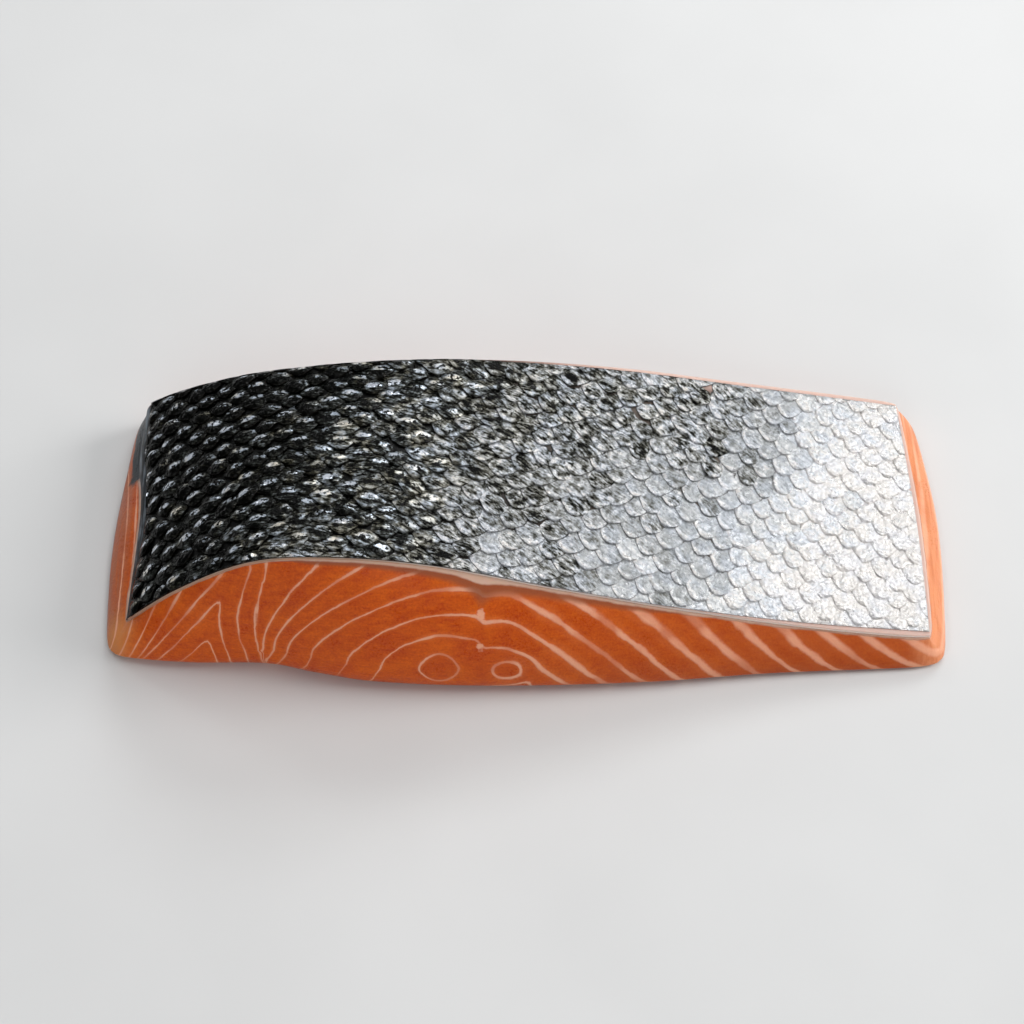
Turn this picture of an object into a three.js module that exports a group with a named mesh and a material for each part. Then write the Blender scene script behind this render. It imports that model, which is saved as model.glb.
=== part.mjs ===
// A portion of raw salmon fillet, lying skin side up.
// It is a block of flesh, cut across the fish, with the skin still on it.
// Millimetres, +Z up. X runs from the back of the fish (-X) to its belly (+X), and Y along
// the fish. The origin is the middle of the footprint, on the surface it lies on.
import * as THREE from "three";
import { mergeVertices } from "three/addons/utils/BufferGeometryUtils.js";

// Driving dimensions
const LENGTH = 142; // back of the fish to belly, over the flesh
const WIDTH = 58.3; // along the fish, over the flesh
const THICKNESS = 25.8; // surface to the top of the skin, where it is thickest

const SKIN_THICKNESS = 1.0;
const SKIN_GAP = 0.3; // keeps the two solids apart where they meet

const FOOT_ROUNDING = 1.4; // how far the cut faces tuck under at the surface
const BULGE_AT = 0.16; // share of the height at which the cut faces stand out furthest
const CROWN = 0.8; // how far the skin domes between its two cut edges, where it is thickest

const halfLength = LENGTH / 2;
const halfWidth = WIDTH / 2;

// Outlines are knots of [share of the half length from the middle, value], read by curveAt.
// Height of the skin over the surface along the front and the back cut, as a share of THICKNESS.
const FRONT_HEIGHT = [
  [-0.975, 0.07],
  [-0.95, 0.205],
  [-0.81, 0.605],
  [-0.63, 0.935],
  [-0.45, 1],
  [-0.22, 0.93],
  [0.06, 0.7],
  [0.36, 0.475],
  [0.65, 0.3],
  [0.95, 0.19],
];
const BACK_HEIGHT = [
  [-0.975, 0.105],
  [-0.93, 0.3],
  [-0.79, 0.505],
  [-0.63, 0.64],
  [-0.36, 0.735],
  [-0.08, 0.735],
  [0.22, 0.635],
  [0.52, 0.455],
  [0.94, 0.195],
];
// How far the cut edges of the skin and of the foot stand from the middle line, as a share of
// halfWidth. The flesh has slumped, so the foot is wider than the skin.
const SKIN_FRONT = [
  [-0.95, 0.64],
  [0, 0.685],
  [0.95, 0.735],
];
const SKIN_BACK = [
  [-0.95, 0.865],
  [0, 0.905],
  [0.95, 0.945],
];
const FOOT_FRONT = [
  [-0.98, 0.785],
  [-0.8, 0.84],
  [-0.61, 0.855],
  [-0.5, 0.915],
  [-0.36, 0.975],
  [-0.08, 1],
  [0.28, 0.965],
  [0.58, 0.895],
  [0.95, 0.845],
];
const FOOT_BACK = [
  [-0.98, 0.92],
  [-0.3, 0.99],
  [0.1, 1],
  [0.95, 0.95],
];
// How far the two ends stand from the middle, as a share of halfLength, by share of halfWidth.
// Towards the rear the skin runs over the edge of the back of the fish and down its side.
const SKIN_LEFT = [
  [-1, 0.955],
  [-0.1, 0.942],
  [0.2, 0.948],
  [0.5, 0.962],
  [1, 0.955],
];
const SKIN_RIGHT = [
  [-1, 0.95],
  [0, 0.948],
  [1, 0.925],
];
const FOOT_LEFT = [
  [-1, 0.992],
  [-0.1, 1],
  [1, 0.97],
];
const FOOT_RIGHT = [
  [-1, 0.985],
  [0.1, 1],
  [1, 0.965],
];

// Corners seen from above: how far in they are drawn, and how tightly each follows its ends.
const FOOT_CORNER = { inset: 1.6, alongLength: 24, alongWidth: 9 };
const SKIN_CORNER = { inset: 0.5, alongLength: 40, alongWidth: 16 };

const SEGMENTS = { length: 44, width: 18, height: 6 };

// Smooth curve through knots [[at, value], ...], flat past its ends.
function curveAt(knots, at) {
  const last = knots.length - 1;
  if (at <= knots[0][0]) return knots[0][1];
  if (at >= knots[last][0]) return knots[last][1];
  const i = knots.findIndex(([from], k) => from <= at && at < knots[k + 1][0]);
  const slope = (j, k) => (knots[k][1] - knots[j][1]) / (knots[k][0] - knots[j][0]);
  const tangent = (k) => slope(Math.max(k - 1, 0), Math.min(k + 1, last));
  const [[x0, y0], [x1, y1]] = [knots[i], knots[i + 1]];
  const step = x1 - x0;
  const t = (at - x0) / step;
  return (
    y0 * (1 + 2 * t) * (1 - t) ** 2 +
    tangent(i) * step * t * (1 - t) ** 2 +
    y1 * t * t * (3 - 2 * t) +
    tangent(i + 1) * step * t * t * (t - 1)
  );
}

// Top of the skin over the surface at a point seen from above.
function skinHeight(x, y) {
  const at = x / halfLength;
  const front = -curveAt(SKIN_FRONT, at) * halfWidth;
  const back = curveAt(SKIN_BACK, at) * halfWidth;
  const t = THREE.MathUtils.clamp((y - front) / (back - front), 0, 1);
  const edges = THREE.MathUtils.lerp(curveAt(FRONT_HEIGHT, at), curveAt(BACK_HEIGHT, at), t);
  return edges * THICKNESS + CROWN * 4 * t * (1 - t) * edges;
}

function skinNormal(x, y) {
  const d = 0.5;
  const alongX = (skinHeight(x + d, y) - skinHeight(x - d, y)) / (2 * d);
  const alongY = (skinHeight(x, y + d) - skinHeight(x, y - d)) / (2 * d);
  return new THREE.Vector3(-alongX, -alongY, 1).normalize();
}

// A point of an outline seen from above: a and b run from -1 to 1 over its length and width.
function planPoint(a, b, { left, right, front, back, corner }) {
  const cut = corner.inset * Math.abs(a) ** corner.alongLength * Math.abs(b) ** corner.alongWidth;
  const from = -curveAt(left, b) * halfLength;
  const to = curveAt(right, b) * halfLength;
  const x = THREE.MathUtils.lerp(from, to, (a + 1) / 2) - cut * Math.sign(a);
  const at = x / halfLength;
  const near = -curveAt(front, at) * halfWidth;
  const far = curveAt(back, at) * halfWidth;
  const y = THREE.MathUtils.lerp(near, far, (b + 1) / 2) - cut * Math.sign(b);
  return new THREE.Vector3(x, y, 0);
}

const SKIN_OUTLINE = {
  left: SKIN_LEFT,
  right: SKIN_RIGHT,
  front: SKIN_FRONT,
  back: SKIN_BACK,
  corner: SKIN_CORNER,
};
const FOOT_OUTLINE = {
  left: FOOT_LEFT,
  right: FOOT_RIGHT,
  front: FOOT_FRONT,
  back: FOOT_BACK,
  corner: FOOT_CORNER,
};

// A point that lies a given depth under the outer face of the skin, square to it.
function underSkin(a, b, depth) {
  const p = planPoint(a, b, SKIN_OUTLINE);
  p.z = skinHeight(p.x, p.y);
  return p.addScaledVector(skinNormal(p.x, p.y), -depth);
}

// The cut faces lean in from the bulging foot to the skin; up runs from 0 at the foot to 1.
function fleshPoint(a, b, up) {
  const top = underSkin(a, b, SKIN_THICKNESS + SKIN_GAP);
  const foot = planPoint(a, b, FOOT_OUTLINE);
  const tuck = FOOT_ROUNDING * Math.max(0, 1 - up / BULGE_AT) ** 2;
  foot.x -= tuck * a;
  foot.y -= tuck * b;
  const lean = 1 - Math.max(0, (up - BULGE_AT) / (1 - BULGE_AT)) ** 1.6;
  return new THREE.Vector3(
    THREE.MathUtils.lerp(top.x, foot.x, lean),
    THREE.MathUtils.lerp(top.y, foot.y, lean),
    top.z * up,
  );
}

function skinPoint(a, b, up) {
  return underSkin(a, b, SKIN_THICKNESS * (1 - up));
}

// Runs from -1 to 1 with closer steps near both ends, where the shape turns.
const crowdEnds = (t) => t * (1.5 - 0.5 * t * t);

// Closed block whose six faces are moved by place(a, b, up).
function blockSolid(place, heightSegments) {
  const block = new THREE.BoxGeometry(2, 2, 2, SEGMENTS.length, SEGMENTS.width, heightSegments);
  block.deleteAttribute("normal");
  block.deleteAttribute("uv");
  const geometry = mergeVertices(block);
  const position = geometry.attributes.position;
  for (let i = 0; i < position.count; i++) {
    const a = crowdEnds(position.getX(i));
    const b = crowdEnds(position.getY(i));
    const up = ((position.getZ(i) + 1) / 2) ** 1.4; // closer steps near the foot
    position.setXYZ(i, ...place(a, b, up).toArray());
  }
  geometry.computeVertexNormals();
  return geometry;
}

function makeFlesh() {
  const material = new THREE.MeshStandardMaterial({
    color: new THREE.Color().setRGB(0.72, 0.33, 0.13, THREE.SRGBColorSpace),
    roughness: 0.35,
    metalness: 0,
  });
  const flesh = new THREE.Mesh(blockSolid(fleshPoint, SEGMENTS.height), material);
  flesh.name = "flesh";
  return flesh;
}

function makeSkin() {
  const material = new THREE.MeshStandardMaterial({
    color: new THREE.Color().setRGB(0.5, 0.51, 0.52, THREE.SRGBColorSpace),
    roughness: 0.3,
    metalness: 0.4,
  });
  const skin = new THREE.Mesh(blockSolid(skinPoint, 1), material);
  skin.name = "skin";
  return skin;
}

const fillet = new THREE.Group();
fillet.add(makeFlesh(), makeSkin());

export default fillet;
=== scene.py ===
import math

import bmesh
import bpy
import numpy as np
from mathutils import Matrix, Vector


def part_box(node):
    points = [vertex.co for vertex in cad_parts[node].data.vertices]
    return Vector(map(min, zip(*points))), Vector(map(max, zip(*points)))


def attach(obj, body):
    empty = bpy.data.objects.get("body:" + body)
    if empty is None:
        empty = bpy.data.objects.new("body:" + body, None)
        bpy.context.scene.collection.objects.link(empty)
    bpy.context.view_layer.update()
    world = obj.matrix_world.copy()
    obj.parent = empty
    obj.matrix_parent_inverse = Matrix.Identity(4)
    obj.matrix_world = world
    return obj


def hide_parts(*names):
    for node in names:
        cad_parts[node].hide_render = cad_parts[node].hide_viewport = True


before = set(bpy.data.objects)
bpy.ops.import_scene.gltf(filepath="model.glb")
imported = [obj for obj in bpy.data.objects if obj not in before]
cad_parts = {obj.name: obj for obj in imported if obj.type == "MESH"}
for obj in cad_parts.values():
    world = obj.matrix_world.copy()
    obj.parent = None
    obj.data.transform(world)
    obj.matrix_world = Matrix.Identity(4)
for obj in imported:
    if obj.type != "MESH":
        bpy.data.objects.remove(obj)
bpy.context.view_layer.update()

mm = 0.001

# the shape that every piece shares, from the boxes of the two CAD nodes
fleshLow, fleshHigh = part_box("flesh")
skinLow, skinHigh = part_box("skin")
halfLength = (fleshHigh.x - fleshLow.x) / 2
halfWidth = (fleshHigh.y - fleshLow.y) / 2
thickness = skinHigh.z

# knots of [share of the half length from the middle, value]
# heights are shares of the thickness, the other outlines shares of the half width or length
fillet = {
    "frontHeight": [
        (-0.975, 0.07), (-0.95, 0.205), (-0.81, 0.605), (-0.63, 0.935), (-0.45, 1),
        (-0.22, 0.93), (0.06, 0.7), (0.36, 0.475), (0.65, 0.3), (0.95, 0.19),
    ],
    "backHeight": [
        (-0.975, 0.105), (-0.93, 0.3), (-0.79, 0.505), (-0.63, 0.64), (-0.36, 0.735),
        (-0.08, 0.735), (0.22, 0.635), (0.52, 0.455), (0.94, 0.195),
    ],
    "skinFront": [(-0.95, 0.64), (0, 0.685), (0.95, 0.735)],
    "skinBack": [(-0.95, 0.865), (0, 0.905), (0.95, 0.945)],
    "skinLeft": [(-1, 0.955), (-0.1, 0.942), (0.2, 0.948), (0.5, 0.962), (1, 0.955)],
    "skinRight": [(-1, 0.95), (0, 0.948), (1, 0.925)],
    "footFront": [
        (-0.98, 0.785), (-0.8, 0.84), (-0.61, 0.855), (-0.5, 0.915), (-0.36, 0.975),
        (-0.08, 1), (0.28, 0.965), (0.58, 0.895), (0.95, 0.845),
    ],
    "footBack": [(-0.98, 0.92), (-0.3, 0.99), (0.1, 1), (0.95, 0.95)],
    "footLeft": [(-1, 0.992), (-0.1, 1), (1, 0.97)],
    "footRight": [(-1, 0.985), (0.1, 1), (1, 0.965)],
    "footCorner": (1.2 * mm, 32, 13),  # inset, and how tightly it follows the two ends
    "skinCorner": (0.5 * mm, 40, 16),
    "crown": 0.8 * mm,
    "footRounding": 1.4 * mm,
    "bulgeAt": 0.16,  # share of the height at which the cut faces stand out furthest
    "leanPower": 1.6,  # how sharply they then turn in towards the skin
}


def curveAt(knots, at):
    # smooth curve through the knots, flat past its ends
    x, y = np.array(knots, float).T
    slope = np.empty_like(y)
    slope[1:-1] = (y[2:] - y[:-2]) / (x[2:] - x[:-2])
    slope[0] = (y[1] - y[0]) / (x[1] - x[0])
    slope[-1] = (y[-1] - y[-2]) / (x[-1] - x[-2])
    at = np.clip(at, x[0], x[-1])
    i = np.clip(np.searchsorted(x, at, side="right") - 1, 0, len(x) - 2)
    step = x[i + 1] - x[i]
    t = (at - x[i]) / step
    return (y[i] * (1 + 2 * t) * (1 - t) ** 2 + slope[i] * step * t * (1 - t) ** 2
            + y[i + 1] * t * t * (3 - 2 * t) + slope[i + 1] * step * t * t * (t - 1))


def smoothStep(low, high, value):
    t = np.clip((value - low) / (high - low), 0, 1)
    return t * t * (3 - 2 * t)


def blend(a, b, t):
    return a + (b - a) * t


def bell(value, middle, reach):
    # 1 at the middle, dying away past the reach
    return np.exp(-((value - middle) / reach) ** 2)


def skinEdge(side, x):
    # y of the front or the back edge of the skin
    sign = -1 if side == "skinFront" else 1
    return sign * curveAt(fillet[side], x / halfLength) * halfWidth


def skinEnd(side, b):
    # x of the left or the right end of the skin, b being y as a share of the half width
    sign = -1 if side == "skinLeft" else 1
    return sign * curveAt(fillet[side], b) * halfLength


def skinHeight(x, y):
    front, back = skinEdge("skinFront", x), skinEdge("skinBack", x)
    t = np.clip((y - front) / (back - front), 0, 1)
    at = x / halfLength
    share = blend(curveAt(fillet["frontHeight"], at), curveAt(fillet["backHeight"], at), t)
    return share * thickness + fillet["crown"] * 4 * t * (1 - t) * share


def skinSlopes(x, y):
    d = 0.4 * mm
    alongX = (skinHeight(x + d, y) - skinHeight(x - d, y)) / (2 * d)
    alongY = (skinHeight(x, y + d) - skinHeight(x, y - d)) / (2 * d)
    return alongX, alongY


def skinNormal(x, y):
    alongX, alongY = skinSlopes(x, y)
    normal = np.stack([-alongX, -alongY, np.ones_like(alongX)], -1)
    return normal / np.linalg.norm(normal, axis=-1, keepdims=True)


def planPoint(a, b, kind):
    # a and b run from -1 to 1 over the length and the width of the outline
    inset, alongLength, alongWidth = fillet[kind + "Corner"]
    cut = inset * np.abs(a) ** alongLength * np.abs(b) ** alongWidth
    left = -curveAt(fillet[kind + "Left"], b) * halfLength
    right = curveAt(fillet[kind + "Right"], b) * halfLength
    x = blend(left, right, (a + 1) / 2) - cut * np.sign(a)
    front = -curveAt(fillet[kind + "Front"], x / halfLength) * halfWidth
    back = curveAt(fillet[kind + "Back"], x / halfLength) * halfWidth
    return x, blend(front, back, (b + 1) / 2) - cut * np.sign(b)


def underSkin(a, b, depth):
    x, y = planPoint(a, b, "skin")
    surface = np.stack([x, y, skinHeight(x, y)], -1)
    return surface - skinNormal(x, y) * np.reshape(depth, (-1, 1))


def addObject(name, data):
    thing = bpy.data.objects.new(name, data)
    bpy.context.scene.collection.objects.link(thing)
    return thing


def blockPiece(name, cuts, place):
    # a cube cut along each axis, whose points are then moved by place(a, b, up)
    bm = bmesh.new()
    bmesh.ops.create_cube(bm, size=2)
    for axis, count in enumerate(cuts):
        along = [e for e in bm.edges if abs(e.verts[0].co[axis] - e.verts[1].co[axis]) > 1]
        bmesh.ops.subdivide_edges(bm, edges=along, cuts=count, use_grid_fill=True)
    mesh = bpy.data.meshes.new(name)
    bm.to_mesh(mesh)
    bm.free()
    points = np.empty(len(mesh.vertices) * 3, np.float32)
    mesh.vertices.foreach_get("co", points)
    a, b, up = points.reshape(-1, 3).astype(float).T
    a = a * (1.2 - 0.2 * a * a)  # closer steps near the ends
    b = b * (1.2 - 0.2 * b * b)
    up = ((up + 1) / 2) ** 1.15
    placed = place(a, b, up)
    mesh.vertices.foreach_set("co", placed.astype(np.float32).ravel())
    mesh.shade_smooth()
    mesh.update()
    return addObject(name, mesh), a, b, up, placed


def setAttribute(piece, name, values, kind="FLOAT"):
    values = np.asarray(values, np.float32)
    attribute = piece.data.attributes.new(name, kind, "POINT")
    attribute.data.foreach_set("vector" if kind == "FLOAT_VECTOR" else "value", values.ravel())


# short names for the shader nodes that the materials are made of
def addNode(tree, kind, inputs=None, **settings):
    node = tree.nodes.new("ShaderNode" + kind)
    for key, value in settings.items():
        setattr(node, key, value)
    for key, value in (inputs or {}).items():
        if isinstance(value, bpy.types.NodeSocket):
            tree.links.new(value, node.inputs[key])
        else:
            node.inputs[key].default_value = value
    return node


def calc(tree, operation, a, b=0.0, c=0.0, clamp=False):
    node = addNode(tree, "Math", {0: a, 1: b, 2: c}, operation=operation, use_clamp=clamp)
    return node.outputs[0]


def product(tree, first, *others):
    for other in others:
        first = calc(tree, "MULTIPLY", first, other)
    return first


def total(tree, first, *others):
    for other in others:
        first = calc(tree, "ADD", first, other)
    return first


def squared(tree, value):
    return calc(tree, "POWER", value, 2.0)


def remap(tree, value, low, high, toLow=0.0, toHigh=1.0, smooth=True):
    node = addNode(tree, "MapRange", {0: value, 1: low, 2: high, 3: toLow, 4: toHigh},
                   interpolation_type="SMOOTHSTEP" if smooth else "LINEAR")
    return node.outputs[0]


def mixColour(tree, factor, a, b, kind="MIX"):
    return addNode(tree, "Mix", {0: factor, 6: a, 7: b}, data_type="RGBA", blend_type=kind).outputs[2]


def colourRamp(tree, amount, tones):
    ramp = addNode(tree, "ValToRGB", {0: amount})
    stops = ramp.color_ramp.elements
    stops.remove(stops[1])
    stops[0].position, stops[0].color = tones[0]
    for at, shade in tones[1:]:
        stops.new(at).color = shade
    return ramp.outputs[0]


def readAttribute(tree, name):
    return addNode(tree, "Attribute", attribute_name=name).outputs["Fac"]


def readVector(tree, name):
    vector = addNode(tree, "Attribute", attribute_name=name).outputs["Vector"]
    return addNode(tree, "SeparateXYZ", {0: vector}).outputs


def objectPoint(tree):
    return addNode(tree, "TexCoord").outputs["Object"]


def stretch(tree, point, scales):
    return addNode(tree, "VectorMath", {0: point, 1: scales}, operation="MULTIPLY").outputs[0]


def noiseAt(tree, scale, detail, vector, roughness=0.55):
    # scale is in waves per metre of an object point
    inputs = {"Scale": scale, "Detail": detail, "Roughness": roughness, "Vector": vector}
    return addNode(tree, "TexNoise", inputs).outputs[0]


def centredNoise(tree, *settings):
    return calc(tree, "SUBTRACT", noiseAt(tree, *settings), 0.5)


def colour(red, green, blue):
    # a display colour from 0 to 255, made linear
    def linear(c):
        c = c / 255
        return c / 12.92 if c <= 0.04045 else ((c + 0.055) / 1.055) ** 2.4
    return (linear(red), linear(green), linear(blue), 1)


def makeWetGrain():
    # the film of moisture and the fine grain under it, on flesh and skin alike
    tree = bpy.data.node_groups.new("wetGrain", "ShaderNodeTree")
    defaults = {"Grain size": 0.5 * mm, "Patch size": 6 * mm, "Dry": 0.4, "Wet": 0.2}
    for name, value in defaults.items():
        socket = tree.interface.new_socket(name, in_out="INPUT", socket_type="NodeSocketFloat")
        socket.default_value = value
    for name in ("Roughness", "Height", "Tone"):
        tree.interface.new_socket(name, in_out="OUTPUT", socket_type="NodeSocketFloat")
    given = tree.nodes.new("NodeGroupInput").outputs
    result = tree.nodes.new("NodeGroupOutput").inputs
    point = objectPoint(tree)
    fine = noiseAt(tree, calc(tree, "DIVIDE", 1.0, given["Grain size"]), 4, point, 0.6)
    broad = noiseAt(tree, calc(tree, "DIVIDE", 1.0, given["Patch size"]), 2, point)
    patch = remap(tree, broad, 0.35, 0.65)
    span = calc(tree, "SUBTRACT", given["Dry"], given["Wet"])
    rough = calc(tree, "MULTIPLY_ADD", patch, span, given["Wet"])
    rough = calc(tree, "MULTIPLY_ADD", fine, 0.12, rough)
    tone = calc(tree, "SUBTRACT", broad, 0.5)
    tone = calc(tree, "MULTIPLY_ADD", calc(tree, "SUBTRACT", fine, 0.5), 0.6, tone)
    tree.links.new(rough, result["Roughness"])
    tree.links.new(fine, result["Height"])
    tree.links.new(tone, result["Tone"])
    return tree


def useGroup(tree, group, **values):
    node = tree.nodes.new("ShaderNodeGroup")
    node.node_tree = group
    for name, value in values.items():
        node.inputs[name.replace("_", " ")].default_value = value
    return node.outputs


def newMaterial(name):
    material = bpy.data.materials.new(name)
    material.use_nodes = True
    tree = material.node_tree
    return material, tree, tree.nodes["Principled BSDF"]


def finishSurface(tree, shader, base, rough, height, looks):
    # looks holds the strength and the distance of the bump, and what is the same all over
    tree.links.new(base, shader.inputs["Base Color"])
    tree.links.new(rough, shader.inputs["Roughness"])
    strength, distance = looks["bump"]
    bump = addNode(tree, "Bump", {"Strength": strength, "Distance": distance, "Height": height})
    tree.links.new(bump.outputs[0], shader.inputs["Normal"])
    for name, value in looks["surface"].items():
        shader.inputs[name].default_value = value


# The flakes are nested cones of muscle, parted by thin sheets of fat. Each point of the flesh has
# a flake count, and the fat shows wherever that count is a whole number.
flakes = {
    "backCore": (-14.5, 6.5),  # x and z of the middle of the nested arches, in mm
    "bellyCore": (-3.3, 5.9),
    "seam": -7.6,  # x of the seam between the back muscle and the belly muscle
    # how far each arch of the back reaches from the core: away from the seam, to it, and upwards
    "reach": [(0, 0), (1, 3.3), (2, 9.5), (3, 15), (4, 21), (5, 25), (6, 27.2), (7, 29), (8, 30)],
    "reachToSeam": [(0, 0), (1, 3.3), (2, 13), (3, 24), (4, 29), (5, 40), (8, 60)],
    "rise": [(0, 0), (1, 3), (2, 6.3), (3, 9.6), (4, 13.3), (5, 16.5), (6, 21), (7, 27), (8, 60)],
    # z and x of the crease between the arches of the back and those of its ridge
    "crease": [(0, -43.4), (4.4, -43.7), (9.4, -44.5), (12.8, -44.6), (16.6, -43.8), (22.2, -41.9)],
    # the arches of the ridge: x and count of their right limbs, and count, x and lean of the left
    "ridgeRight": [(-58, 3), (-52.4, 5), (-50.1, 6), (-47.1, 7), (-44.4, 8), (-42, 9)],
    "ridgeFoot": [(3, -50), (4, -52.5), (5, -56), (6, -59.8), (7, -62.2), (8, -63.3), (9, -64.9),
                  (10, -66.6), (11, -68.2), (12, -70), (14, -74)],
    "ridgeLean": [(3, 0.8), (6, 0.8), (7, 0.78), (8, 0.61), (9, 0.54), (10, 0.5), (14, 0.4)],
    "archPower": 1.65,  # 2 would make round arches
    "bellyStep": 6.15,  # from one slanting sheet of the belly to the next, over the foot
    "bellyRing": (2.4, 1.65),  # half length and half height of the innermost ring
    "along": 10.0,  # mm along the fish from one cone to the next
}


def orderWhere(orders, inside):
    # the order at which a point stops being outside; inside has one row for each order
    i = np.clip(np.argmax(inside > 0, axis=0), 1, len(orders) - 1)
    i = np.where(inside.max(axis=0) > 0, i, len(orders) - 1)
    columns = np.arange(inside.shape[1])
    before, after = inside[i - 1, columns], inside[i, columns]
    t = np.clip(-before / np.where(np.abs(after - before) < 1e-9, 1e-9, after - before), 0, 1)
    return blend(orders[i - 1], orders[i], t)


def backArches(x, z):
    coreX, coreZ = flakes["backCore"]
    orders = np.linspace(0, 8, 81)
    reachLeft = curveAt(flakes["reach"], orders)[:, None] + 1e-3
    reachRight = curveAt(flakes["reachToSeam"], orders)[:, None] + 1e-3
    rise = curveAt(flakes["rise"], orders)[:, None] + 1e-3
    below = np.maximum(coreZ - z, 0)
    closed = smoothStep(1.7, 1.1, orders)[:, None]  # the innermost arches close below the core
    up = np.where(z > coreZ, z - coreZ, below * closed)
    side = x - coreX + (1 - closed) * 0.45 * below * np.sign(coreX - x)
    reach = np.where(side < 0, reachLeft, reachRight)
    power = flakes["archPower"]
    size = (np.abs(side) / reach) ** power + (up / rise) ** power
    return orderWhere(orders, 1 - size)


def bellySlants(x, z):
    coreX, coreZ = flakes["bellyCore"]
    folded = blend(coreZ + np.abs(z - coreZ), z, smoothStep(-1, 3, x))
    rise = folded - 2.5
    fromCore = coreX + np.logaddexp((x - coreX) * 1.5, 0) / 1.5
    stretch = 1 + 1.1 * (np.maximum(x - 20, 0) / 42) ** 2
    foot = fromCore + rise * (1 + 0.025 * rise) * stretch
    slant = 2 + (foot - 6) / flakes["bellyStep"]
    ringX, ringZ = flakes["bellyRing"]
    ring = np.hypot((x - coreX) / ringX, (z - coreZ) / ringZ)
    return blend(1 + (ring - 1) * 0.45, slant, smoothStep(1.2, 2.4, ring))


def ridgeArches(x, z):
    orders = np.linspace(3, 14, 111)
    foot = np.interp(orders, *np.array(flakes["ridgeFoot"]).T)[:, None]
    lean = np.interp(orders, *np.array(flakes["ridgeLean"]).T)[:, None]
    left = orderWhere(orders, x - (foot + lean * (z - 4)))
    shift = x - (curveAt(flakes["crease"], z) + 44.4)
    right = np.interp(shift, *np.array(flakes["ridgeRight"]).T)
    return 16 - np.logaddexp(left * 5, right * 5) / 5  # still rising where it meets the back arches


def flakeCount(x, z, along):
    # x and z in mm, along from 0 at the front cut
    back = backArches(x, z)
    belly = bellySlants(x, z)
    body = blend(back, belly, smoothStep(flakes["seam"] - 0.8, flakes["seam"] + 0.8, x))
    ridge = ridgeArches(x, z)
    count = np.where(x < curveAt(flakes["crease"], z), ridge, body)
    return count + along / flakes["along"]


def pacePerVertex(mesh, points, field):
    # how fast the field changes over the surface, per mm, as the mean of the faces around a point
    mesh.calc_loop_triangles()
    corners = np.empty(len(mesh.loop_triangles) * 3, np.int32)
    mesh.loop_triangles.foreach_get("vertices", corners)
    i, j, k = corners.reshape(-1, 3).T
    first, second = points[j] - points[i], points[k] - points[i]
    du, dv = field[j] - field[i], field[k] - field[i]
    aa, ab, bb = (first ** 2).sum(1), (first * second).sum(1), (second ** 2).sum(1)
    area = np.maximum(aa * bb - ab * ab, 1e-24)
    p, q = (du * bb - dv * ab) / area, (dv * aa - du * ab) / area
    pace = np.linalg.norm(first * p[:, None] + second * q[:, None], axis=1) * mm
    total, weight = np.zeros(len(points)), np.zeros(len(points))
    for corner in (i, j, k):
        np.add.at(total, corner, pace * np.sqrt(area))
        np.add.at(weight, corner, np.sqrt(area))
    return total / np.maximum(weight, 1e-24)


fleshLooks = {
    "cuts": (259, 79, 47),
    "topDepth": 0.9 * mm,  # just into the underside of the skin
    "width": 49,  # mm between the cut faces, as the flake count takes it
    # the fat under the skin: x and thickness, in mm
    "fatReach": [
        (-66, 0.15), (-45, 0.15), (-36, 0.25), (-20, 0.45), (-8, 0.6), (0, 0.4), (40, 0.2), (66, 0.15),
    ],
    # the lumps of fat on the seam: x from the seam, z, and the reach across and up, in mm
    "seamFat": [(0, 15.6, 0.8, 1.1), (-0.1, 10.4, 0.7, 0.9)],
    "orange": colour(220, 100, 6),
    "deepOrange": colour(186, 64, 0),
    "paleOrange": colour(240, 138, 74),
    "bellyEnd": colour(228, 152, 108),
    "backEnd": colour(160, 106, 80),
    "fat": colour(238, 176, 144),
    "darkMeat": colour(150, 82, 52),
    "skinFat": colour(222, 186, 164),
    "cornerFat": colour(228, 154, 84),
    "bellySide": colour(160, 74, 34),
    "backSkin": colour(50, 54, 58),
    "bump": (0.5, 0.12 * mm),
    "surface": {
        "Subsurface Weight": 0.3,
        "Subsurface Radius": (1.0, 0.4, 0.2),
        "Subsurface Scale": 1.5 * mm,
        "Specular IOR Level": 0.18,
        "Coat Weight": 0.08,
        "Coat Roughness": 0.12,
    },
}


def fleshPoint(a, b, up):
    top = underSkin(a, b, fleshLooks["topDepth"])
    footX, footY = planPoint(a, b, "foot")
    bulge = fillet["bulgeAt"]
    tuck = fillet["footRounding"] * np.maximum(0, 1 - up / bulge) ** 2
    lean = 1 - np.maximum(0, (up - bulge) / (1 - bulge)) ** fillet["leanPower"]
    x = blend(top[:, 0], footX - tuck * a, lean)
    y = blend(top[:, 1], footY - tuck * b, lean)
    return np.stack([x, y, top[:, 2] * up], -1)


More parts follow.
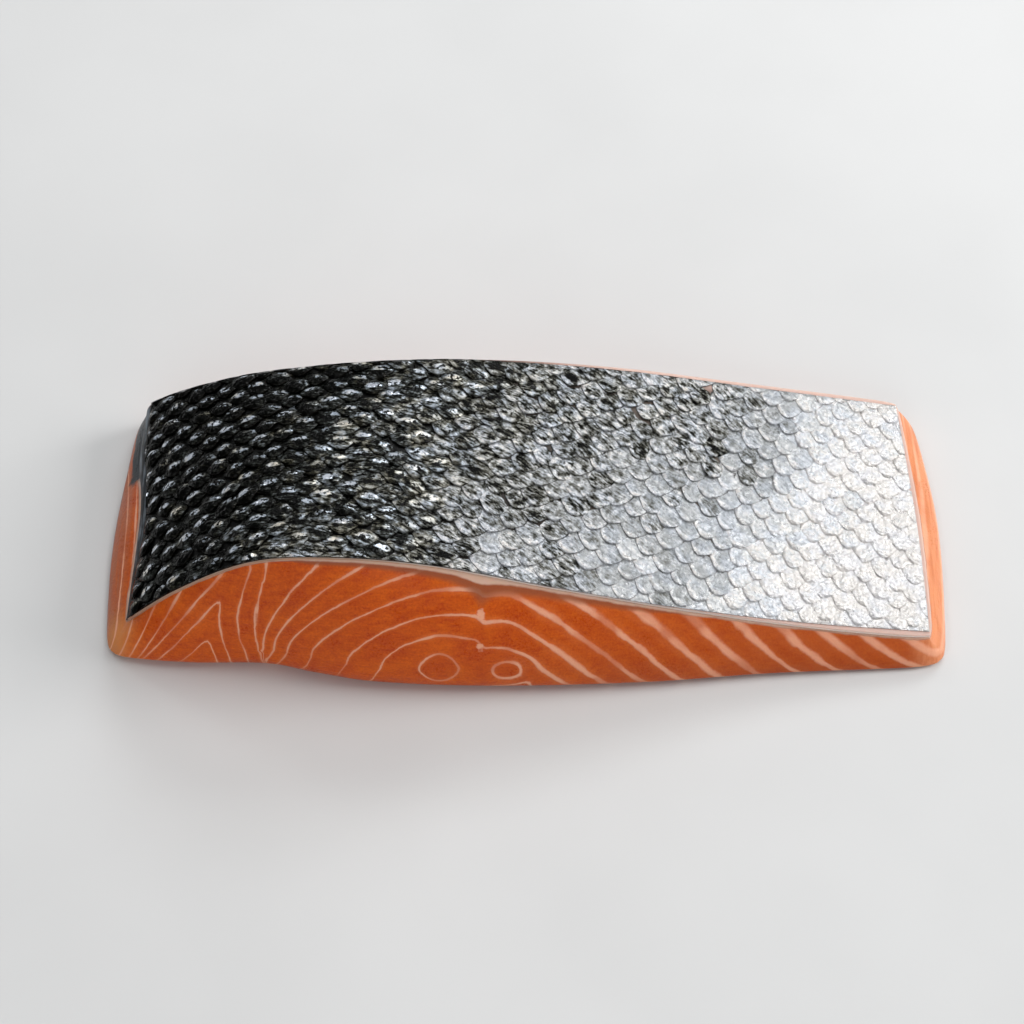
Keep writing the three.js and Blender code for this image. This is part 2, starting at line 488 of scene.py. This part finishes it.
def buildFlesh(wetGrain):
    piece, a, b, up, placed = blockPiece("flesh_looks", fleshLooks["cuts"], fleshPoint)
    x, y, z = placed.T / mm
    # the step from cone to cone dies away towards the two ends
    along = (b + 1) / 2 * fleshLooks["width"] * smoothStep(-71, -58, x) * smoothStep(71, 60, x)
    count = flakeCount(x, z, along)
    setAttribute(piece, "flakeCount", count)
    setAttribute(piece, "flakePace", pacePerVertex(piece.data, placed, count))
    # a layer of fat under the skin, then dark meat, thickest over the seam
    seam = flakes["seam"]
    depth = (1 - up) * underSkin(a, b, fleshLooks["topDepth"])[:, 2] / mm
    fat = np.interp(x, *np.array(fleshLooks["fatReach"]).T) + 0.5 * bell(x, seam, 2.5)
    dark = 0.7 + 0.6 * bell(x, seam + 2, 12) + 2.2 * np.exp(-np.abs(x - seam) / 1.4)
    dark *= smoothStep(-41, -34, x) * smoothStep(30, 14, x)
    setAttribute(piece, "underSkin", np.stack([depth, fat, dark], -1), "FLOAT_VECTOR")
    # the belly end is 1 and the back end -1, with dark skin rolled over the top of the back end
    setAttribute(piece, "ends", smoothStep(61, 69.5, x) - smoothStep(-65, -70, x))
    rolledOver = smoothStep(-64, -66.5, x) * smoothStep(1.5, 3.5, z)
    setAttribute(piece, "backSkin", rolledOver * smoothStep(4, 17, y) * smoothStep(26, 24.5, y))
    setAttribute(piece, "cornerFat", bell(x, -68, 3) * bell(y, -20, 4))
    lumps = [bell(x, seam + offset, across) * bell(z, at, tall)
             for offset, at, across, tall in fleshLooks["seamFat"]]
    setAttribute(piece, "seamFat", sum(lumps))
    setAttribute(piece, "seamLine", bell(x, seam, 0.35) * smoothStep(2, 4, z) * smoothStep(16, 14.5, z))
    piece.data.materials.append(fleshMaterial(wetGrain))
    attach(piece, "root")
    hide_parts("flesh")
    print("flesh", len(piece.data.polygons), "faces")


def fleshMaterial(wetGrain):
    looks = fleshLooks
    material, tree, shader = newMaterial("salmonFlesh")
    grain = useGroup(tree, wetGrain, Grain_size=0.4 * mm, Patch_size=5 * mm, Dry=0.36, Wet=0.22)
    point = objectPoint(tree)
    across, _, above = addNode(tree, "SeparateXYZ", {0: point}).outputs
    wobble = centredNoise(tree, 240, 4, point, 0.6)
    fibre = centredNoise(tree, 1.0, 3, stretch(tree, point, (420, 900, 1700)), 0.65)
    speck = centredNoise(tree, 2600, 2, point, 0.6)
    # how far a point is from the nearest sheet of fat, in mm
    count = calc(tree, "MULTIPLY_ADD", wobble, 0.2, readAttribute(tree, "flakeCount"))
    part = calc(tree, "SUBTRACT", count, calc(tree, "ROUND", count))
    pace = calc(tree, "MAXIMUM", readAttribute(tree, "flakePace"), 0.02)
    away = calc(tree, "DIVIDE", calc(tree, "ABSOLUTE", part), pace)
    # the sheets are thicker towards the belly and towards the skin, and uneven along their length
    layer = readVector(tree, "underSkin")
    width = product(
        tree,
        remap(tree, across, -25 * mm, 30 * mm, 0.105, 0.45),
        remap(tree, above, 2 * mm, 20 * mm, 1.0, 1.3),
        remap(tree, noiseAt(tree, 210, 4, point), 0.3, 0.7, 0.65, 1.35),
        remap(tree, layer[0], 0.6, 3.2, 1.6, 1.0),
    )
    width = calc(tree, "MINIMUM", width, calc(tree, "DIVIDE", 0.15, pace))
    reach = calc(tree, "DIVIDE", away, width)
    fade = remap(tree, noiseAt(tree, 120, 2, point), 0.36, 0.56, 0.42, 1.0)
    sheet = product(tree, remap(tree, reach, 0.45, 1.7, 1, 0), fade)
    halo = product(tree, remap(tree, reach, 0.8, 5.0, 1, 0), fade)
    onSeam = remap(tree, total(tree, readAttribute(tree, "seamFat"), fibre), 0.4, 0.75, 0, 0.85)
    strong = remap(tree, across, -10 * mm, 40 * mm, 0.88, 0.7)
    fat = calc(tree, "MAXIMUM", product(tree, sheet, strong), onSeam)

    tone = calc(tree, "MULTIPLY_ADD", grain["Tone"], 1.3, 0.5)
    tone = calc(tree, "MULTIPLY_ADD", fibre, 1.4, tone)
    tone = calc(tree, "MULTIPLY_ADD", speck, 1.4, tone)
    base = mixColour(tree, tone, looks["deepOrange"], looks["orange"])
    # painted shade: each flake is deeper in colour along one side of its fat
    paintedFlakeShade = product(tree, remap(tree, part, -0.5, 0.0), remap(tree, part, 0.1, 0.0), 0.3)
    ends = readAttribute(tree, "ends")
    strands = noiseAt(tree, 1.0, 4, stretch(tree, point, (1500, 130, 700)), 0.6)
    strands = remap(tree, strands, 0.36, 0.6, 0.65, 1.0)
    depth = calc(tree, "MULTIPLY_ADD", wobble, 0.5, layer[0])
    inDark = calc(tree, "SUBTRACT", depth, layer[1])
    dark = calc(tree, "DIVIDE", inDark, calc(tree, "MAXIMUM", layer[2], 0.05))
    backSkin = calc(tree, "MULTIPLY_ADD", wobble, 0.9, readAttribute(tree, "backSkin"))
    layers = [
        # painted shade along one side of each flake
        (paintedFlakeShade, "deepOrange"),
        (product(tree, halo, 0.3), "paleOrange"),
        (product(tree, readAttribute(tree, "seamLine"), 0.5), "deepOrange"),
        (remap(tree, across, -25 * mm, 50 * mm, 0, 0.62), "bellySide"),
        (product(tree, remap(tree, ends, 0, 1, 0, 0.85), strands), "bellyEnd"),
        (product(tree, remap(tree, ends, 0, -1, 0, 0.7), strands), "backEnd"),
        (product(tree, readAttribute(tree, "cornerFat"), 0.6), "cornerFat"),
        (fat, "fat"),
        (remap(tree, dark, 0.3, 1.3, 0.88, 0), "darkMeat"),
        (remap(tree, inDark, -0.2, 0.15, 0.9, 0), "skinFat"),
        (remap(tree, backSkin, 0.35, 0.6), "backSkin"),
    ]
    for amount, shade in layers:
        base = mixColour(tree, amount, base, looks[shade])
    height = calc(tree, "MULTIPLY_ADD", sheet, 0.5, total(tree, grain["Height"], fibre))
    finishSurface(tree, shader, base, grain["Roughness"], height, looks)
    return material


# the skin, with its cut edges and its bare borders
skinLooks = {
    "cuts": (239, 95, 3),
    "thick": 1.0 * mm,
    "under": 0.3 * mm,  # the scales fill the rest, up to the outer face
    "rollOver": 0.78 * mm,  # how far the skin drops as it rolls over the back of the fish
    "rollWidth": 1.6 * mm,
    # bare skin along the edges, by y in mm for the left and by x for the front and the back
    "leftBorder": [(-25, 1.0 * mm), (-12, 1.2 * mm), (0, 2.2 * mm), (25, 2.2 * mm)],
    "rightBorder": 0.6 * mm,
    "frontBorder": [(20, 0), (45, 0.6 * mm), (66, 1.1 * mm)],
    "backBorder": [(-12, 0), (0, 0.5 * mm), (66, 0.9 * mm)],
    "bareBack": colour(4, 4, 3),
    "bareBelly": colour(104, 92, 84),
    "pale": colour(208, 174, 162),
    "darkMembrane": colour(34, 38, 42),
    # the lighter membrane colour is partly a painted sheen
    "paintedSheenMembrane": colour(112, 120, 128),
    "cutBack": colour(176, 146, 126),
    "cutBelly": colour(244, 222, 210),
    "cutFoot": colour(214, 140, 104),
    "bump": (0.4, 0.08 * mm),
    "surface": {
        "Subsurface Weight": 0.5,
        "Subsurface Radius": (1.0, 0.7, 0.6),
        "Subsurface Scale": 2.0 * mm,
        "Specular IOR Level": 0.12,
    },
}


def skinPoint(a, b, up):
    x, _ = planPoint(a, b, "skin")
    near = np.maximum(0, 1 - (x - skinEnd("skinLeft", b)) / skinLooks["rollWidth"])
    top = skinLooks["under"] + skinLooks["rollOver"] * near ** 2
    return underSkin(a, b, blend(skinLooks["thick"], top, up))


def buildSkin(wetGrain):
    piece, a, b, up, placed = blockPiece("skin_looks", skinLooks["cuts"], skinPoint)
    x, y = placed[:, 0], placed[:, 1]
    toFront, toBack = y - skinEdge("skinFront", x), skinEdge("skinBack", x) - y
    toEdge = np.minimum(np.minimum(toFront, toBack), skinEnd("skinRight", b) - x) / mm
    pale = smoothStep(3.5, 1.0, toEdge) * smoothStep(-12, 20, x / mm) + smoothStep(50, 66, x / mm)
    pastBorder = (x - skinEnd("skinLeft", b) - curveAt(skinLooks["leftBorder"], y / mm)) / mm
    setAttribute(piece, "cutDepth", (1 - up) * smoothStep(-1, -0.985, a))
    setAttribute(piece, "pale", pale)
    setAttribute(piece, "border", smoothStep(0.4, -0.4, pastBorder))
    piece.data.materials.append(skinMaterial(wetGrain))
    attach(piece, "root")
    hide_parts("skin")
    print("skin", len(piece.data.polygons), "faces")


def skinMaterial(wetGrain):
    looks = skinLooks
    material, tree, shader = newMaterial("salmonSkin")
    grain = useGroup(tree, wetGrain, Grain_size=0.4 * mm, Patch_size=4 * mm, Dry=0.4, Wet=0.22)
    point = objectPoint(tree)
    across = addNode(tree, "SeparateXYZ", {0: point}).outputs[0]
    bare = remap(tree, across, -20 * mm, 40 * mm)
    bare = mixColour(tree, bare, looks["bareBack"], looks["bareBelly"])
    bare = mixColour(tree, readAttribute(tree, "pale"), bare, looks["pale"])
    # along the left border a grey-blue membrane, streaked dark and light; the light streaks are a painted
    # sheen
    strands = remap(tree, noiseAt(tree, 1.0, 3, stretch(tree, point, (1600, 160, 500))), 0.4, 0.62)
    membraneWithSheen = mixColour(tree, strands, looks["darkMembrane"], looks["paintedSheenMembrane"])
    bare = mixColour(tree, readAttribute(tree, "border"), bare, membraneWithSheen)
    # the cut edge is pale, and redder at its foot
    down = readAttribute(tree, "cutDepth")
    cut = mixColour(tree, remap(tree, across, -35 * mm, 0.0), looks["cutBack"], looks["cutBelly"])
    foot = remap(tree, calc(tree, "MULTIPLY_ADD", grain["Tone"], 0.5, down), 0.45, 0.95)
    cut = mixColour(tree, foot, cut, looks["cutFoot"])
    base = mixColour(tree, remap(tree, down, 0.06, 0.2), bare, cut)
    finishSurface(tree, shader, base, grain["Roughness"], grain["Height"], looks)
    return material


# the scales, one closed plate each, with how silver each is: 0 on the black back of the fish and
# 1 on its white belly
scaleLooks = {
    # over the skin, across the fish and along it, by share of x
    "columnStep": [(-0.5, 3.5 * mm), (0.1, 3.35 * mm), (0.5, 3.1 * mm), (1, 3.0 * mm)],
    "rowStep": [(-1, 3.9 * mm), (-0.2, 4.0 * mm), (1, 4.1 * mm)],
    "lean": 0.13,  # slope by which the columns and rows are turned from the length of the fish
    # how far each plate is turned, by x in mm, in degrees
    "turn": [(-60, 12), (-38, 8), (-22, -4), (-8, -15), (5, -20), (40, -20), (66, -14)],
    "steepest": 2.2,  # square of the slope past which the columns draw no closer
    "overhang": (2.2 * mm, 3.0 * mm, 1.2 * mm),  # of a plate's centre: front, back and ends
    "halfAcross": 0.88,  # as a share of the column step
    "length": 1.6,  # as a share of the row step
    "anchor": 0.62,  # share of the length, from the root, that lies on the centre
    # by how silver the plate is: how far its free edge stands up, and how high it is domed
    "lift": [(0, 0.45 * mm), (0.3, 0.36 * mm), (0.7, 0.14 * mm), (1, 0.04 * mm)],
    "dome": [(0, 0.62 * mm), (0.3, 0.36 * mm), (0.6, 0.18 * mm), (1, 0.17 * mm)],
    "domeAt": 0.7,  # share of the length at which the dome is highest
    "domeReach": (0.8, 0.34),  # across and along
    "tilt": 0.35,  # as a share of the lift
    "droop": 0.25,  # of the two sides, as a share of the lift
    "jitter": 0.2 * mm,
    "vary": {"silver": 0.04, "turn": 7, "size": 0.08, "dome": 0.15},  # from plate to plate
    "sheet": 0.1 * mm,  # thickness of the darkest plates
    "clear": 0.1 * mm,  # of the anchor over the skin
    "pressed": 1.3 * mm,  # width of the strip along the cut in which the plates lie flatter
    "segments": (6, 6),
    "pointed": 0.13,  # draws in the corners of the free edge
    # silver along the line that runs across the fish, by x in mm
    "silver": [
        (-62, 0.0), (-42, 0.11), (-25, 0.28), (-8, 0.45), (14, 0.58), (32, 0.69), (47, 0.9), (64, 1.0),
    ],
    "silverSlant": 0.45,
    # patches that differ from the skin about them, the lighter ones partly a painted glint: x, y, reach in
    # mm, and how much more silver
    "patches": [
        (-38, -16, 7, 0.11), (-28, 8, 6, 0.09), (-22, -12, 9, -0.12), (-19, 2, 6, -0.12),
        (-7, -4, 6, 0.09), (-8, -17, 5, 0.12), (16, -15, 7, 0.08), (2, 20, 8, -0.04),
        (15, 20, 7, -0.04), (30, 18, 12, -0.12),
    ],
    "tones": [
        (0.02, colour(2, 2, 1)), (0.17, colour(8, 8, 6)), (0.34, colour(49, 49, 43)),
        (0.5, colour(110, 110, 106)), (0.64, colour(152, 155, 157)), (0.76, colour(174, 177, 181)),
        (0.88, colour(204, 206, 209)), (1.0, colour(218, 215, 214)),
    ],
    "coolTint": (0.87, 0.98, 1.13, 1),
    "warmTint": (1.1, 1.01, 0.8, 1),
    "darkOutline": colour(14, 10, 6),
    "paleOutline": colour(196, 176, 168),
    "bump": (0.8, 0.2 * mm),
    "surface": {"Specular IOR Level": 0.07, "Coat Roughness": 0.06},
}


def silverAt(x, y):
    # x and y in mm
    knots = np.array(scaleLooks["silver"]).T
    silver = np.interp(x - scaleLooks["silverSlant"] * (y + 4), *knots)
    # the patches add or take away silver, and the lighter ones also paint in glints
    for atX, atY, reach, more in scaleLooks["patches"]:
        silver = silver + more * bell(x, atX, reach) * bell(y, atY, reach)
    return silver


def scalePlate():
    # one square plate: x across, y from -1 at its root to 1 at its free edge, z 0 on its face and
    # -1 on its underside
    bm = bmesh.new()
    across, along = scaleLooks["segments"]
    bmesh.ops.create_grid(bm, x_segments=across, y_segments=along, size=1)
    rim = [e for e in bm.edges if e.is_boundary]
    skirt = bmesh.ops.extrude_edge_only(bm, edges=rim)["geom"]
    lowered = [v for v in skirt if isinstance(v, bmesh.types.BMVert)]
    bmesh.ops.translate(bm, verts=lowered, vec=(0, 0, -1))
    bmesh.ops.contextual_create(bm, geom=[e for e in bm.edges if e.is_boundary])
    bmesh.ops.recalc_face_normals(bm, faces=bm.faces)
    mesh = bpy.data.meshes.new("scalePlate")
    bm.to_mesh(mesh)
    bm.free()
    return mesh


def plateOutline(plate):
    # rounds the free half of the square plate off to a blunt point; along runs from 0 at the root
    # to 1 at the free edge
    shape = np.empty(len(plate.vertices) * 3, np.float32)
    plate.vertices.foreach_get("co", shape)
    gridX, gridY, under = shape.reshape(-1, 3).astype(float).T
    free = np.maximum(gridY, 0)
    across = gridX * np.sqrt(1 - free ** 2 / 2)
    along = np.where(gridY > 0, gridY * np.sqrt(1 - gridX ** 2 / 2), gridY)
    point = 1 - scaleLooks["pointed"] * (2 * across * np.maximum(along, 0)) ** 2
    rim = np.maximum(np.abs(gridX), gridY)
    return across * point, (1 + along * point) / 2, under, rim


def squeezeAt(x, y):
    # how much shorter a step over the sloping skin is when seen from above
    slope = skinSlopes(x, y)[0]
    return 1 / np.sqrt(1 + np.minimum(slope ** 2, scaleLooks["steepest"]))


def plateEnds(y):
    # x of the lines that the plates are cut along at the two ends
    left = skinEnd("skinLeft", y / halfWidth) + curveAt(skinLooks["leftBorder"], y / mm)
    return left, skinEnd("skinRight", y / halfWidth) - skinLooks["rightBorder"]


def scaleCentres():
    # columns follow the skin at even steps; every other column is half a row on
    margin = 3.5 * mm
    rows = 20
    columns, x = [], skinLow.x - margin
    while x < skinHigh.x + margin:
        step = float(curveAt(scaleLooks["columnStep"], x / halfLength))
        columns.append((x, step))
        x += step * float(squeezeAt(np.array([x + step / 2]), np.array([0.0]))[0])
    centres = []
    for index, (x, step) in enumerate(columns):
        pitch = float(curveAt(scaleLooks["rowStep"], x / halfLength))
        middle = -scaleLooks["lean"] * x
        offset = 0.5 if index % 2 else 0.0
        first = math.floor((-halfWidth - middle) / pitch) - 1
        for row in range(first, first + rows):
            y = middle + (row + offset) * pitch
            centres.append((x + scaleLooks["lean"] * y, y, pitch, step))
    centres = np.array(centres)
    x, y = centres[:, 0], centres[:, 1]
    pastFront, pastBack, pastEnds = scaleLooks["overhang"]
    left, right = plateEnds(y)
    kept = ((y > skinEdge("skinFront", x) - pastFront) & (y < skinEdge("skinBack", x) + pastBack)
            & (x > left - pastEnds) & (x < right + pastEnds))
    return centres[kept]


def buildScales(wetGrain):
    looks = scaleLooks
    plate = scalePlate()
    across, along, under, rim = plateOutline(plate)
    centres = scaleCentres()
    dice = np.random.default_rng(7)
    number, points = len(centres), len(across)
    shake = dice.normal(0, 1, (number, 8))
    centres[:, :2] += shake[:, :2] * looks["jitter"]
    # one row for each plate and one column for each of its points
    centreX, centreY, rowStep, columnStep = centres.T[:, :, None]
    moreSilver, moreTurn, moreSize, moreDome, tiltAcross, tiltAlong = shake.T[2:, :, None]
    vary = looks["vary"]
    silver = silverAt(centreX / mm, centreY / mm) + moreSilver * vary["silver"]
    silver = np.clip(silver, 0, 1)
    turn = np.radians(curveAt(looks["turn"], centreX / mm) + moreTurn * vary["turn"])
    size = 1 + np.clip(moreSize, -2, 2) * vary["size"]
    u = across * looks["halfAcross"] * size * columnStep
    v = (looks["anchor"] - along) * looks["length"] * size * rowStep
    x = centreX + (u * np.cos(turn) - v * np.sin(turn)) * squeezeAt(centreX, centreY)
    y = centreY + u * np.sin(turn) + v * np.cos(turn)
    # the plates are cut with the skin, inside its bare borders
    front = skinEdge("skinFront", x) + curveAt(skinLooks["frontBorder"], x / mm)
    back = skinEdge("skinBack", x) - curveAt(skinLooks["backBorder"], x / mm)
    y = np.clip(y, front, back)
    left, right = plateEnds(y)
    x = np.clip(x, left, right)

    ahead = along - looks["domeAt"]
    reachAcross, reachAlong = looks["domeReach"]
    dome = np.maximum(0, 1 - (across / reachAcross) ** 2) * np.maximum(0, 1 - (ahead / reachAlong) ** 2)
    tilt = looks["tilt"] * (tiltAcross * across + tiltAlong * ahead) - looks["droop"] * across ** 2
    height = curveAt(looks["lift"], silver) * (along - looks["anchor"] + tilt)
    height += curveAt(looks["dome"], silver) * (1 + moreDome * vary["dome"]) * dome
    inside = np.minimum(np.minimum(y - front, back - y), np.minimum(x - left, right - x))
    height *= blend(0.25, 1, smoothStep(0, looks["pressed"], inside))
    height += under * looks["sheet"] * (1 - 0.6 * silver)
    height += looks["clear"] - skinLooks["under"]
    flat = x.ravel(), y.ravel()
    surface = np.stack([*flat, skinHeight(*flat)], -1)
    placed = surface + skinNormal(*flat) * height.reshape(-1, 1)

    bm = bmesh.new()
    for _ in range(number):
        bm.from_mesh(plate)
    mesh = bpy.data.meshes.new("scales")
    bm.to_mesh(mesh)
    bm.free()
    mesh.vertices.foreach_set("co", placed.astype(np.float32).ravel())
    mesh.shade_smooth()
    mesh.update()
    piece = addObject("scales", mesh)
    local = np.stack([np.tile(across, number), np.tile(along, number),
                      np.repeat(dice.random(number), points)], -1)
    setAttribute(piece, "plate", local, "FLOAT_VECTOR")
    setAttribute(piece, "silver", np.repeat(silver, points))
    setAttribute(piece, "rim", np.tile(rim, number))
    setAttribute(piece, "tone", np.repeat(dice.random(number), points))
    piece.data.materials.append(scaleMaterial(wetGrain))
    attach(piece, "root")
    print("scales", number, "plates", len(mesh.polygons), "faces")


def scaleMaterial(wetGrain):
    looks = scaleLooks
    material, tree, shader = newMaterial("salmonScale")
    grain = useGroup(tree, wetGrain, Grain_size=0.3 * mm, Patch_size=2 * mm, Dry=0.2, Wet=0.08)
    across, along, chance = readVector(tree, "plate")
    rim, silver, tone = (readAttribute(tree, name) for name in ("rim", "silver", "tone"))
    point = objectPoint(tree)
    # streaks that slant over each plate, and blotches of dark colour in the skin under it
    place = {0: product(tree, across, 2.7), 1: product(tree, along, 6.4), 2: product(tree, chance, 60.0)}
    place = {"Vector": addNode(tree, "CombineXYZ", place).outputs[0], "Angle": math.radians(-18)}
    place = addNode(tree, "VectorRotate", place, rotation_type="Z_AXIS").outputs[0]
    streak = centredNoise(tree, 1.0, 3, stretch(tree, place, (0.9, 2.7, 1.0)), 0.6)
    blotch = centredNoise(tree, 700, 3, point, 0.62)
    uneven = calc(tree, "MULTIPLY_ADD", streak, 2.0, product(tree, blotch, 2.1))
    uneven = calc(tree, "MULTIPLY_ADD", calc(tree, "SUBTRACT", tone, 0.5), 0.25, uneven)
    # each plate is darker over its middle
    aside = squared(tree, product(tree, across, 1.8))
    higher = squared(tree, calc(tree, "MULTIPLY_ADD", along, 7.5, -5.4))
    core = total(tree, aside, higher, product(tree, streak, 2.0))
    uneven = calc(tree, "MULTIPLY_ADD", remap(tree, core, 0.1, 1.5, 1, 0), -0.2, uneven)
    contrast = total(tree, remap(tree, silver, 0.0, 0.2, 0.5, 0.65), remap(tree, silver, 0.3, 0.5, 0.0, 0.3))
    contrast = product(tree, contrast, remap(tree, silver, 0.44, 0.7, 1.0, 0.22))
    # painted glints: flecks of silver high on each dome, where light from behind glints, which show where
    # the skin is dark
    aside = calc(tree, "MULTIPLY_ADD", across, 2.0, remap(tree, tone, 0.0, 1.0, -0.8, 0.3, False))
    higher = calc(tree, "MULTIPLY_ADD", along, 8.5, remap(tree, chance, 0.0, 1.0, -6.0, -4.7, False))
    glintSpot = total(tree, squared(tree, aside), squared(tree, higher))
    paintedGlint = product(
        tree,
        remap(tree, glintSpot, 0.1, 1.4, 1, 0),
        remap(tree, noiseAt(tree, 1200, 3, point, 0.65), 0.44, 0.54),
        remap(tree, silver, 0.15, 0.5, 1.0, 0.1),
        remap(tree, tone, 0.0, 1.0, 0.6, 1.15),
    )
    # the free edge: a pale lip, which is a painted highlight brightest towards one side, then a dark line
    # round it
    edge = calc(tree, "MULTIPLY_ADD", streak, 0.2, rim)
    paintedRimHighlight = product(
        tree,
        remap(tree, edge, 0.5, 0.75),
        remap(tree, edge, 0.86, 0.95, 1, 0),
        remap(tree, across, -0.2, 0.5, 1.0, 0.25),
        remap(tree, silver, 0.08, 0.3, 0.0, 0.24),
        remap(tree, silver, 0.6, 0.9, 1.0, 0.3),
    )
    outline = product(
        tree,
        remap(tree, edge, 0.88, 0.97),
        remap(tree, calc(tree, "ABSOLUTE", across), 0.0, 0.6, 0.4, 1.0),
        remap(tree, silver, 0.6, 0.95, 0.9, 0.2),
        remap(tree, blotch, -0.12, 0.1, 0.3, 1.0),
    )
    # the amount takes in the painted glints and the painted rim highlight
    amount = total(tree, silver, 0.06, product(tree, uneven, contrast), paintedGlint, paintedRimHighlight)
    shade = colourRamp(tree, amount, looks["tones"])
    hue = total(tree, noiseAt(tree, 300, 3, point), remap(tree, silver, 0.1, 0.35, -0.1, 0.02))
    tint = mixColour(tree, remap(tree, hue, 0.4, 0.6), looks["coolTint"], looks["warmTint"])
    tinted = mixColour(tree, 1.0, shade, tint, "MULTIPLY")
    base = mixColour(tree, remap(tree, silver, 0.1, 0.6, 0.8, 0.15), shade, tinted)
    edgeColour = mixColour(tree, remap(tree, silver, 0.6, 0.95), looks["darkOutline"], looks["paleOutline"])
    base = mixColour(tree, outline, base, edgeColour)

    shine = remap(tree, amount, 0.25, 0.6)
    metal = product(tree, shine, remap(tree, silver, 0.4, 0.8, 0.45, 0.5))
    tree.links.new(metal, shader.inputs["Metallic"])
    # the dark scales are wettest where they are domed, under the painted glints
    wet = calc(tree, "MULTIPLY", paintedGlint, remap(tree, silver, 0.2, 0.5, 0.8, 0.0), clamp=True)
    tree.links.new(wet, shader.inputs["Coat Weight"])
    rough = total(tree, grain["Roughness"], remap(tree, silver, 0.2, 0.8, 0.0, 0.12))
    # smooth wrinkles that glint on the dark scales, finer ones on the silver
    fine = calc(tree, "MULTIPLY_ADD", noiseAt(tree, 2000, 3, point, 0.6), 1.4, streak)
    fine = product(tree, total(tree, fine, grain["Height"]), remap(tree, silver, 0.1, 0.5, 0.0, 1.2),
                   remap(tree, silver, 0.5, 0.85, 1.0, 0.75))
    wrinkles = product(tree, noiseAt(tree, 950, 1, point), remap(tree, silver, 0.5, 0.9, 2.6, 3.4))
    finishSurface(tree, shader, base, rough, total(tree, fine, wrinkles), looks)
    return material


# the floor, the lights and the camera
studio = {
    "cameraPlace": (-2.53 * mm, -250.8 * mm, 368.7 * mm),
    "cameraElevation": 55,  # degrees
    "lens": 91.1,
    "floor": colour(214, 214, 213),
    "floorPatches": colour(209, 209, 208),
    "floorRoughness": 0.7,
    "world": 0.2,
    "worldTint": (0.93, 0.95, 1.0, 1),
    # name, place and size in metres, power in watts, and tint; each is aimed at the origin
    "lights": [
        ("skylight", (0.15, 0.14, 0.8), (0.8, 0.8), 2.4, (1, 0.995, 0.985)),
        ("leftPane", (-0.35, 0.55, 0.5), (0.16, 0.09), 0.5, (1, 1, 1)),
        ("backWindow", (0.25, 0.65, 0.5), (0.35, 0.25), 2.6, (0.95, 0.98, 1)),
        ("rightWindow", (1.1, 0.14, 0.62), (0.6, 0.5), 11.5, (1, 1, 1)),
        ("fill", (-0.3, -0.9, 0.5), (1.0, 0.7), 3.1, (0.99, 0.99, 1)),
    ],
}


def areaLight(name, place, size, power, tint):
    light = bpy.data.lights.new(name, "AREA")
    light.shape = "RECTANGLE"
    light.size, light.size_y = size
    light.energy = power
    light.color = tint
    thing = addObject(name, light)
    thing.location = place
    thing.rotation_euler = Vector(place).to_track_quat("Z", "Y").to_euler()


def buildFloor():
    bm = bmesh.new()
    bmesh.ops.create_grid(bm, x_segments=1, y_segments=1, size=3)
    mesh = bpy.data.meshes.new("floor")
    bm.to_mesh(mesh)
    bm.free()
    floor = addObject("floor", mesh)
    material, tree, shader = newMaterial("paleFloor")
    patches = remap(tree, noiseAt(tree, 14, 3, objectPoint(tree)), 0.3, 0.7)
    base = mixColour(tree, patches, studio["floor"], studio["floorPatches"])
    tree.links.new(base, shader.inputs["Base Color"])
    shader.inputs["Roughness"].default_value = studio["floorRoughness"]
    mesh.materials.append(material)


def buildStudio():
    buildFloor()
    scene = bpy.context.scene
    world = bpy.data.worlds.new("studio")
    world.use_nodes = True
    background = world.node_tree.nodes["Background"]
    background.inputs["Color"].default_value = studio["worldTint"]
    background.inputs["Strength"].default_value = studio["world"]
    scene.world = world
    for light in studio["lights"]:
        areaLight(*light)
    camera = addObject("camera", bpy.data.cameras.new("camera"))
    camera.location = studio["cameraPlace"]
    camera.rotation_euler = (math.radians(90 - studio["cameraElevation"]), 0, 0)
    camera.data.lens = studio["lens"]
    camera.data.clip_start = 0.01
    scene.camera = camera
    scene.view_settings.view_transform = "Standard"
    print("studio")


wetGrain = makeWetGrain()
buildFlesh(wetGrain)
buildSkin(wetGrain)
buildScales(wetGrain)
buildStudio()
